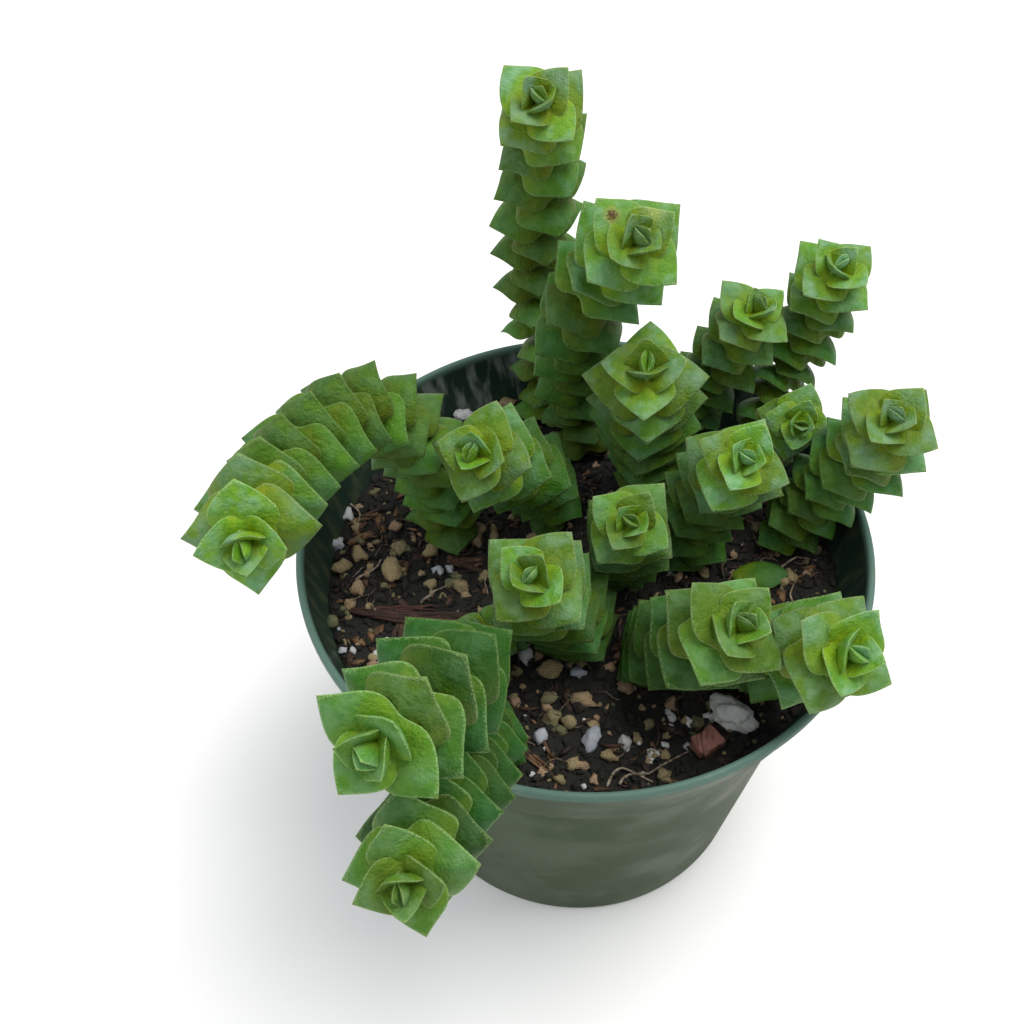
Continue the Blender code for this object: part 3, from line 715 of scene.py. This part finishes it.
def build_litter():
    rng = random.Random(17)
    dark, middle, _ = BARK_TONES
    red = wood_material("bark_splinter_red", (dark, SPLINTER_RED, SPLINTER_TAN), (0.08, 1.0, 1.0))
    brown = wood_material("bark_brown", BARK_TONES, (0.3, 0.3, 1.0))
    pink = wood_material("bark_pink", (middle, CHIP_PINK, CHIP_PINK), (1.0, 0.15, 1.0))
    root = wood_material("dead_root", (middle, FIBRE_TAN, FIBRE_PALE), (1.0, 1.0, 1.0))
    for name, listed, material, stands_for in (
            ("bark_splinter", LONG_SPLINTERS, red, ("bark_strip",)),
            ("bark_shreds", SHORT_SPLINTERS, brown, ())):
        bm = bmesh.new()
        mark = bm.verts.layers.float.new("tone")
        for listing in listed:
            add_splinters(bm, mark, *listing, rng)
        bmesh.ops.recalc_face_normals(bm, faces=bm.faces)
        finish_piece(name, bm, material, "bark", *stands_for)
    bm = bmesh.new()
    mark = bm.verts.layers.float.new("tone")
    for corners in ROOTS:
        add_fibre(bm, mark, corners, 0.30, 0.75)
    for _ in range(LOOSE_FIBRES):
        x, y = random_place(rng, 6.0)
        heading = rng.uniform(0.0, 2 * math.pi)
        corners = [(x, y)]
        for _ in range(3):
            heading += rng.uniform(-0.9, 0.9)
            x += 1.5 * math.cos(heading)
            y += 1.5 * math.sin(heading)
            corners.append((x, y))
        add_fibre(bm, mark, corners, rng.uniform(0.08, 0.17), rng.random() * 0.8)
    bmesh.ops.recalc_face_normals(bm, faces=bm.faces)
    finish_piece("dead_roots", bm, root, "bark")
    slivers = [make_lump(seed + 20, 0.9) for seed in range(SLIVER_KINDS)]
    places = []
    for _ in range(BARK_SLIVERS):
        x, y = random_place(rng)
        length = rng.uniform(0.7, 2.2)
        half_sizes = (length, length * rng.uniform(0.25, 0.5), rng.uniform(0.2, 0.4))
        matrix = lump_matrix(rng, x, y, half_sizes, sunk=0.1, flat=True)
        places.append((rng.randrange(SLIVER_KINDS), matrix, rng.random() ** 1.5))
    scatter("bark_slivers", slivers, places, brown, "bark")
    bm = bmesh.new()
    bmesh.ops.create_cube(bm, size=2.0)
    bmesh.ops.bevel(
        bm, geom=bm.edges[:], offset=0.25, segments=2, profile=0.5, material=-1, affect="EDGES")
    bmesh.ops.subdivide_edges(bm, edges=bm.edges[:], cuts=3, use_grid_fill=True)
    mark = bm.verts.layers.float.new("tone")
    for vert in bm.verts:
        ridge = 0.10 * math.sin(9.0 * vert.co.x + 2.0 * noise.noise(vert.co * 1.5))
        vert[mark] = 0.75
        vert.co *= 1.0 + ridge + 0.16 * noise.noise(vert.co * 1.6)
    x, y = CHIP_PLACE
    bm.transform(Matrix.Diagonal((*CHIP_HALF_SIZES, 1.0)))
    bm.transform(Matrix.Rotation(math.radians(CHIP_TURN), 4, "Z") @ Matrix.Rotation(0.12, 4, "Y"))
    bm.transform(Matrix.Translation((x, y, soil_height(x, y) + 0.9 * CHIP_HALF_SIZES[2])))
    finish_piece("bark_pink_chip", bm, pink, "bark", "bark_chip")


build_litter()

# ---------------------------------------------------------------------------------------- shoots
# Each shoot is a round green stem rooted in the soil, a stack of thick leaf pairs that clasp it,
# each a quarter turn on from the last and joined round the stem, and a bud of small folded pairs
# at its tip. A pair is one ball drawn out to two tips, then smoothed by subdivision.
ROOT_HEIGHT = 62.0
COLLAR_HEIGHT = 76.0
STACK_START = 15.6
BUD_LENGTH = 5.0
YOUNG_PAIRS = 4.5
TOP_PAIR_YOUTH = 0.8
FULL_LENGTH_AT = 1.5
BASE_TILT = 2.0
TIP_TILT = -24.0
TOP_TIP_LIFT = 36.0
STEM_RADIUS = 1.7
STEM_SIDES = 12
STEM_STEP = 2.0
LEAF_SIDES = 16
LEAF_RINGS = 6

# Leaf shape in shares of its length: the outline is (out along it, half width) from tip to stem
LEAF_OUTLINE = ((1.0, 0.0), (0.76, 0.27), (0.53, 0.53), (0.27, 0.66), (0.0, 0.40))
BUD_OUTLINE = ((1.0, 0.0), (0.80, 0.24), (0.55, 0.48), (0.28, 0.58), (0.0, 0.36))
LEAF_THICKNESS = 0.34
UPPER_SHARE = 0.52
LEAF_DROOP = 0.16
MARGIN_WAVE = 0.035

# What each point of a leaf tells the finish: how near the rim it is, how far along the leaf, and
# the leaf's youth, its own tone and its shoot's light, a painted brightness that stands in for the
# light and shade falling on that shoot
LEAF_MARKS = ("rim", "reach", "youth", "tone", "light")

# Painted shade and painted light: greens for old and young leaves, blended by each shoot's light mark
LEAF_PAINTED_SHADE = (0.010, 0.058, 0.003)
LEAF_PAINTED_LIGHT = (0.072, 0.170, 0.014)
YOUNG_PAINTED_SHADE = (0.078, 0.180, 0.018)
YOUNG_PAINTED_LIGHT = (0.140, 0.262, 0.018)
AXIL_OLIVE = (0.085, 0.120, 0.003)
AXIL_GOLD = (0.185, 0.260, 0.008)
BLOOM_OLD = (0.070, 0.165, 0.075)
BLOOM_YOUNG = (0.172, 0.310, 0.180)
MARGIN_OLD = (0.120, 0.210, 0.060)
MARGIN_YOUNG = (0.270, 0.400, 0.160)
DEEP_GREEN = (0.60, 0.78, 0.50)
STEM_GREEN = (0.120, 0.150, 0.040)
STEM_PALE = (0.180, 0.200, 0.060)
STEM_CORK = (0.090, 0.055, 0.028)
CORK_HEIGHTS = (76.0, 84.0)

# Blemishes on top leaves of the middle tall shoot, a pale patch and a brown scar in its yellow
# halo: centre, radius of the full stain, radius where it has faded out, strength and colour
SCAR_PLACE = (2.5, 22.4, 141.9)
BLEMISHES = (
    ((9.6, 24.0, 141.8), 0.8, 3.8, 0.55, (0.460, 0.500, 0.200)),
    (SCAR_PLACE, 0.9, 2.0, 0.60, (0.230, 0.220, 0.040)),
    (SCAR_PLACE, 0.5, 1.15, 0.95, (0.060, 0.026, 0.008)),
)

# Young pairs on from the last full one: advance in mm, size, tilt at the base and at the tip, how
# far the edges are cupped, and thickness
BUD_PAIRS = (
    (1.4, 0.92, 6, 20, 0.05, 0.34), (2.5, 0.78, 20, 46, 0.18, 0.32),
    (3.2, 0.64, 42, 78, 0.26, 0.28), (3.8, 0.48, 74, 86, 0.20, 0.36),
)

# Each shoot: its foot on the soil, the points that it bends through above that, leaf length low
# down and at the top, number of pairs, turn of the top pair and twist per pair in degrees, and its
# light, the painted light and shade in its leaves' colour, from 0 for painted shade, dark green, to
# 1 for painted light, bright yellow-green
SHOOTS = {
    "back_tall": (
        (-9, 41), [(-10, 45, 89), (-12, 49, 104), (-11, 46, 124), (-10, 40, 143), (-10, 32, 157)],
        8.1, 9.6, 17, 45, 4.0, 0.9),
    "mid_tall": (
        (-1, 33), [(-3, 34, 92), (-3, 30, 109), (0, 27, 122), (4, 25, 131), (7, 19, 140)],
        8.3, 10.9, 15, 45, 2.0, 0.45),
    "centre": (
        (13, 21), [(12, 21, 90), (11, 19, 103), (10, 15, 115)],
        8.5, 11.6, 11, 0, 2.0, 0.7),
    "back_right_short": (
        (21, 33), [(22, 33, 91), (27, 32, 105), (30, 29, 118)],
        7.1, 9.2, 11, 45, 2.0, 0.5),
    "back_right_long": (
        (34, 26), [(36, 32, 92), (40, 36, 102), (43, 37, 113), (44, 34, 124)],
        6.5, 9.2, 14, 42, 2.0, 0.6),
    "right_long": (
        (40, 10), [(45, 10, 90), (49, 9, 99), (52, 8, 107), (52, 5, 115)],
        7.7, 10.0, 13, 50, 2.0, 0.6),
    "right_small": (
        (28, 17), [(33, 19, 89), (38, 20, 97), (39, 14, 103)],
        5.5, 7.6, 9, 78, 2.0, 0.5),
    "right_mid": (
        (21, 6), [(21, 5, 88), (25, 4, 99), (27, -2, 111)],
        8.5, 9.7, 11, 65, 2.0, 0.5),
    "centre_low": (
        (7, 0), [(8, -4, 87), (8, -7, 96), (8, -12, 105)],
        7.5, 9.2, 9, 56, 2.0, 0.25),
    "front_centre": (
        (0, -16), [(-2, -18, 86), (-6, -21, 96), (-8, -26, 107)],
        8.5, 10.6, 10, 52, 2.0, 0.45),
    "left_centre": (
        (-6, 13), [(-9, 10, 90), (-15, 2, 103), (-19, -5, 113)],
        7.2, 10.1, 10, 78, 2.0, 0.45),
    "left_arching": (
        (-27, 9), [(-28, 10, 88), (-30, 8, 99), (-35, 5, 110), (-41, -2, 117), (-46, -14, 121),
                   (-49, -27, 124), (-48, -39, 129)],
        8.9, 10.4, 25, 8, 2.0, 1.0),
    "front_left_upper": (
        (-21, -31), [(-21, -36, 93), (-18, -50, 114), (-22, -61, 123), (-25, -70, 129)],
        6.9, 10.9, 17, 58, 2.0, 0.1),
    "front_left_trailing": (
        (-13, -41), [(-14, -45, 90), (-16, -56, 97), (-18, -64, 103), (-20, -73, 109), (-21, -82, 115)],
        5.5, 9.8, 17, 15, 2.0, 0.1),
    "front_left_young": (
        (-12, -17), [(-15, -20, 81), (-20, -24, 85)],
        5.0, 6.4, 5, 70, 2.0, 0.6),
    "front_right": (
        (14, -20), [(16, -25, 87), (20, -30, 97), (25, -34, 108)],
        8.8, 10.8, 11, 60, 2.0, 0.15),
    "far_right_front": (
        (30, -20), [(34, -26, 89), (38, -32, 98), (42, -37, 106)],
        7.5, 11.1, 11, 65, 2.0, 0.5),
}


class Shoot:
    """The centre line of a shoot, with a frame that is carried down from its tip without turning."""

    def __init__(self, route):
        self.path, self.lengths = smooth_path(route)
        self.length = self.lengths[-1]
        last = len(self.path) - 1
        self.along = []
        for i in range(last + 1):
            ahead = self.path[min(i + 1, last)] - self.path[max(i - 1, 0)]
            self.along.append(ahead.normalized())
        side = Vector((1.0, 0.0, 0.0))
        self.side = [side] * (last + 1)
        for i in range(last, -1, -1):
            side = (side - self.along[i] * side.dot(self.along[i])).normalized()
            self.side[i] = side

    def frame(self, distance):
        """A matrix at a distance from the stem's foot: X and Y across the stem, Z along it."""
        i = 0
        while i < len(self.path) - 2 and self.lengths[i + 1] < distance:
            i += 1
        share = (distance - self.lengths[i]) / (self.lengths[i + 1] - self.lengths[i])
        centre = self.path[i].lerp(self.path[i + 1], share)
        forward = self.along[i].lerp(self.along[i + 1], min(share, 1.0)).normalized()
        side = self.side[i].lerp(self.side[i + 1], min(share, 1.0))
        side = (side - forward * side.dot(forward)).normalized()
        turned = Matrix((side, forward.cross(side), forward)).transposed().to_4x4()
        return Matrix.Translation(centre) @ turned


def leaf_material(name, subsurface):
    """Waxy succulent leaf: olive by the stem, green along the blade, blue-green at the tip; the
    shoot's light mark paints light and shade into it.
    """
    material, tree, shader = new_material(name)
    rim, reach, youth, tone, light = [
        add_node(tree, "Attribute", attribute_name=key).outputs["Fac"]
        for key in LEAF_MARKS]
    cloud, fine = grain(tree, 240.0, 10.0)
    blotch, papillae = grain(tree, 620.0, 5.0)
    # Painted light and shade: the shoot's light mark picks between the painted-shade and painted-light
    # greens
    old = blend_colours(tree, light, LEAF_PAINTED_SHADE, LEAF_PAINTED_LIGHT)
    young = blend_colours(tree, light, YOUNG_PAINTED_SHADE, YOUNG_PAINTED_LIGHT)
    colour = blend_colours(tree, ramp(tree, youth, 0.35, 1.0), old, young)
    axil = maths(tree, "MULTIPLY", ramp(tree, reach, 0.78, 0.15), ramp(tree, cloud, 1.0, 0.0, 0.35, 1.0))
    # Painted light: shoots with more painted light get more of the gold by the stem
    axil = maths(tree, "MULTIPLY", axil, ramp(tree, light, 0.0, 0.6, 0.45, 1.0))
    gold = blend_colours(tree, youth, AXIL_OLIVE, AXIL_GOLD)
    colour = blend_colours(tree, axil, colour, gold)
    bloom = maths(tree, "MULTIPLY", ramp(tree, reach, 0.30, 0.85), ramp(tree, cloud, 0.1, 0.9, 0.0, 1.0))
    bloom = maths(tree, "MULTIPLY", bloom, ramp(tree, youth, 0.0, 1.0, 0.50, 0.90))
    # Painted light: shoots with more painted light get more of the blue-green bloom
    bloom = maths(tree, "MULTIPLY", bloom, ramp(tree, light, 0.1, 0.7, 0.40, 1.0))
    colour = blend_colours(tree, bloom, colour, blend_colours(tree, youth, BLOOM_OLD, BLOOM_YOUNG))
    deep = blend_colours(tree, ramp(tree, blotch, 0.25, 0.85, 0.0, 0.60), (1.0, 1.0, 1.0), DEEP_GREEN)
    colour = blend_colours(tree, 1.0, colour, deep, "MULTIPLY")
    toothed = maths(tree, "ADD", rim, ramp(tree, papillae, 0.3, 0.7, -0.022, 0.022))
    margin = ramp(tree, toothed, 0.955, 0.995)
    pale = blend_colours(tree, youth, MARGIN_OLD, MARGIN_YOUNG)
    colour = blend_colours(tree, maths(tree, "MULTIPLY", margin, 0.6), colour, pale)
    place = add_node(tree, "TexCoord").outputs["Object"]
    ragged = ramp(tree, papillae, 0.3, 0.7, -0.35 * MM, 0.35 * MM)
    for centre, inner, outer, share, tint in BLEMISHES:
        centre = tuple(c * MM for c in centre)
        away = add_node(tree, "VectorMath", {0: place, 1: centre}, operation="DISTANCE").outputs["Value"]
        spot = ramp(tree, maths(tree, "ADD", away, ragged), outer * MM, inner * MM, 0.0, share)
        colour = blend_colours(tree, spot, colour, tint)
    lift = add_node(tree, "HueSaturation", {
        "Hue": ramp(tree, tone, 0.0, 1.0, 0.490, 0.510), "Saturation": 1.0,
        "Value": ramp(tree, tone, 0.0, 1.0, 0.84, 1.20), "Color": colour})
    tree.links.new(lift.outputs["Color"], shader.inputs["Base Color"])
    tree.links.new(ramp(tree, cloud, 0.0, 1.0, 0.42, 0.60), shader.inputs["Roughness"])
    height = maths(tree, "ADD", fine, maths(tree, "MULTIPLY", papillae, margin))
    height = maths(tree, "ADD", height, maths(tree, "MULTIPLY", cloud, 0.9))
    height = maths(tree, "ADD", height, maths(tree, "MULTIPLY", blotch, 0.5))
    bump(tree, shader, height, 0.36, 0.7)
    shader.inputs["Specular IOR Level"].default_value = 0.14
    shader.inputs["Subsurface Weight"].default_value = subsurface
    shader.inputs["Subsurface Radius"].default_value = (0.7, 1.0, 0.15)
    shader.inputs["Subsurface Scale"].default_value = 1.2 * MM
    return material


def stem_material():
    """Green succulent stem that turns brown and corky near the soil."""
    material, tree, shader = new_material("green_stem")
    height = add_node(tree, "SeparateXYZ", {
        "Vector": add_node(tree, "TexCoord").outputs["Object"]}).outputs["Z"]
    cloud, fine = grain(tree, 500.0, 5.0)
    colour = blend_colours(tree, cloud, STEM_GREEN, STEM_PALE)
    low, high = CORK_HEIGHTS
    colour = blend_colours(tree, ramp(tree, height, high * MM, low * MM), colour, STEM_CORK)
    tree.links.new(colour, shader.inputs["Base Color"])
    tree.links.new(ramp(tree, cloud, 0.0, 1.0, 0.5, 0.75), shader.inputs["Roughness"])
    bump(tree, shader, fine, 0.2)
    return material


def add_pair(
        bm, layers, place, length, bend, marks, rng,
        outline=LEAF_OUTLINE, cup=0.0, thickness=LEAF_THICKNESS):
    """A joined pair of leaves: a ball whose rings are drawn out to two tips and bent upwards."""
    made = bmesh.ops.create_uvsphere(bm, u_segments=LEAF_SIDES, v_segments=LEAF_RINGS, radius=1.0)
    uneven = [1.0 + rng.uniform(-0.05, 0.05) for _ in range(LEAF_SIDES)]
    waves = [length * rng.uniform(-MARGIN_WAVE, MARGIN_WAVE) for _ in range(LEAF_SIDES)]
    lengths = (length * rng.uniform(0.95, 1.05), length * rng.uniform(0.95, 1.05))
    tilts = [
        (math.radians(bend[0] + rng.uniform(-3, 3)), math.radians(bend[1] + rng.uniform(-6, 6)))
        for _ in range(2)]
    step = 2 * math.pi / LEAF_SIDES
    for vert in made["verts"]:
        ring = math.hypot(vert.co.x, vert.co.y)
        angle = math.atan2(vert.co.y, vert.co.x)
        rise = vert.co.z
        index = round(angle / step) % LEAF_SIDES
        from_tip = min(index % (LEAF_SIDES // 2), LEAF_SIDES // 2 - index % (LEAF_SIDES // 2))
        leaf = 0 if vert.co.x >= -0.001 else 1
        size = lengths[leaf] * ring * (1.0 if from_tip in (0, LEAF_SIDES // 4) else uneven[index])
        out = outline[from_tip][0] * size
        across = math.copysign(outline[from_tip][1] * size, angle)
        base, tip = tilts[leaf]
        turn = base + (tip - base) * out / lengths[leaf]
        chord = (base + turn) / 2
        spread = across / (0.55 * length)
        cupped = cup * length * spread ** 2 * min(1.0, 2.0 * out / length)
        drooped = -LEAF_DROOP * length * spread ** 2 if cup == 0.0 else 0.0
        thick = thickness * length * (UPPER_SHARE if rise > 0 else 1.0 - UPPER_SHARE) * rise
        offset = cupped + thick + waves[index] * ring ** 3
        x = out * math.cos(chord) - offset * math.sin(turn)
        z = out * math.sin(chord) + offset * math.cos(turn) + drooped
        vert.co = place @ Vector((x if leaf == 0 else -x, across, z))
        for key, value in zip(LEAF_MARKS, (ring, out / lengths[leaf], *marks)):
            vert[layers[key]] = value
        if ring > 0.99 and from_tip == 0:
            vert[layers["crease"]] = 1.0
    for edge in {edge for vert in made["verts"] for edge in vert.link_edges}:
        if all(vert[layers["rim"]] > 0.99 for vert in edge.verts):
            edge[layers["margin"]] = 1.0


def leaf_bmesh():
    """An empty bmesh with the marks that the leaf finish reads."""
    bm = bmesh.new()
    layers = {key: bm.verts.layers.float.new(key) for key in LEAF_MARKS}
    layers["crease"] = bm.verts.layers.float.new("crease_vert")
    layers["margin"] = bm.edges.layers.float.new("crease_edge")
    return bm, layers


def build_stem(name, shoot, top, material):
    bm = bmesh.new()
    start = STACK_START - 4.0
    count = round((top - start) / STEM_STEP)
    radius = Matrix.Diagonal((STEM_RADIUS, STEM_RADIUS, 1.0, 1.0))
    frames = [shoot.frame(start + (top - start) * i / count) @ radius for i in range(count + 1)]
    sweep(bm, frames, STEM_SIDES)
    bmesh.ops.recalc_face_normals(bm, faces=bm.faces)
    finish_piece("shoot_stem_" + name, bm, material, "stem", "stem_" + name)


def build_shoots():
    mature = leaf_material("mature_leaf", 0.12)
    tender = leaf_material("tender_leaf", 0.22)
    bark_green = stem_material()
    rng = random.Random(23)
    for name, (foot, bends, low, high, count, top_turn, twist, light) in SHOOTS.items():
        shoot = Shoot([(*foot, ROOT_HEIGHT), (*foot, COLLAR_HEIGHT)] + bends)
        last = shoot.length - BUD_LENGTH
        build_stem(name, shoot, last + 1.0, bark_green)
        bm, layers = leaf_bmesh()
        for i in range(count):
            share = i / (count - 1)
            length = low + (high - low) * min(1.0, FULL_LENGTH_AT * share)
            from_top = count - 1 - i
            turn = math.radians(top_turn - twist * from_top + 90.0 * i + rng.uniform(-4, 4))
            place = shoot.frame(STACK_START + (last - STACK_START) * share)
            place = place @ Matrix.Rotation(turn, 4, "Z")
            tip_tilt = TIP_TILT + TOP_TIP_LIFT * max(0.0, 1.0 - from_top / 4)
            youth = max(0.0, 1.0 - from_top / YOUNG_PAIRS) * TOP_PAIR_YOUTH
            # Marks: the pair's youth, a random tone, and the shoot's painted light and shade
            marks = (youth, rng.random(), light)
            add_pair(bm, layers, place, length, (BASE_TILT, tip_tilt), marks, rng)
        finish_piece("leaf_stack_" + name, bm, mature, "leaf", "leaves_" + name, levels=2)
        bm, layers = leaf_bmesh()
        for i, (advance, size, base_tilt, tip_tilt, cup, thickness) in enumerate(BUD_PAIRS):
            turn = math.radians(top_turn + 90.0 * (count + i) + rng.uniform(-5, 5))
            place = shoot.frame(last + advance * high / 11.0) @ Matrix.Rotation(turn, 4, "Z")
            # Marks: the bud pair's youth, a random tone, and the shoot's painted light and shade
            marks = (0.85 + 0.05 * i, rng.random(), light)
            bend = (base_tilt, tip_tilt)
            add_pair(bm, layers, place, high * size, bend, marks, rng, BUD_OUTLINE, cup, thickness)
        finish_piece("leaf_bud_" + name, bm, tender, "young_leaf", "bud_" + name, levels=2)


build_shoots()

# ------------------------------------------------------------------------------------ dropped leaf
# One old leaf that has come off a shoot and lies on the soil at the right, its torn end inwards.
DROPPED_PLACE = (34.4, 0.0)
DROPPED_HALF_SIZES = (5.6, 3.5, 1.1)
DROPPED_SIDES = 20
DROPPED_RINGS = 8
# Youth, tone and painted light of the dropped leaf: its green sits halfway between painted shade and
# painted light
DROPPED_MARKS = (0.15, 0.7, 0.5)


def build_dropped_leaf():
    bm, layers = leaf_bmesh()
    bmesh.ops.create_uvsphere(bm, u_segments=DROPPED_SIDES, v_segments=DROPPED_RINGS, radius=1.0)
    for vert in bm.verts:
        ring = math.hypot(vert.co.x, vert.co.y)
        for key, value in zip(LEAF_MARKS, (ring, 0.5 + 0.5 * vert.co.x, *DROPPED_MARKS)):
            vert[layers[key]] = value
        pinch = 1.0 - 0.45 * max(0.0, vert.co.x) ** 3 - 0.25 * max(0.0, -vert.co.x)
        vert.co.y *= pinch
        vert.co.z += 0.35 * vert.co.x ** 2
    x, y = DROPPED_PLACE
    bm.transform(Matrix.Diagonal((*DROPPED_HALF_SIZES, 1.0)))
    bm.transform(Matrix.Rotation(math.radians(8.0), 4, "Z"))
    bm.transform(Matrix.Translation((x, y, soil_height(x, y) + 1.3)))
    green = leaf_material("dropped_leaf_green", 0.1)
    finish_piece("dropped_leaf", bm, green, "leaf", "fallen_leaf", levels=2)


build_dropped_leaf()
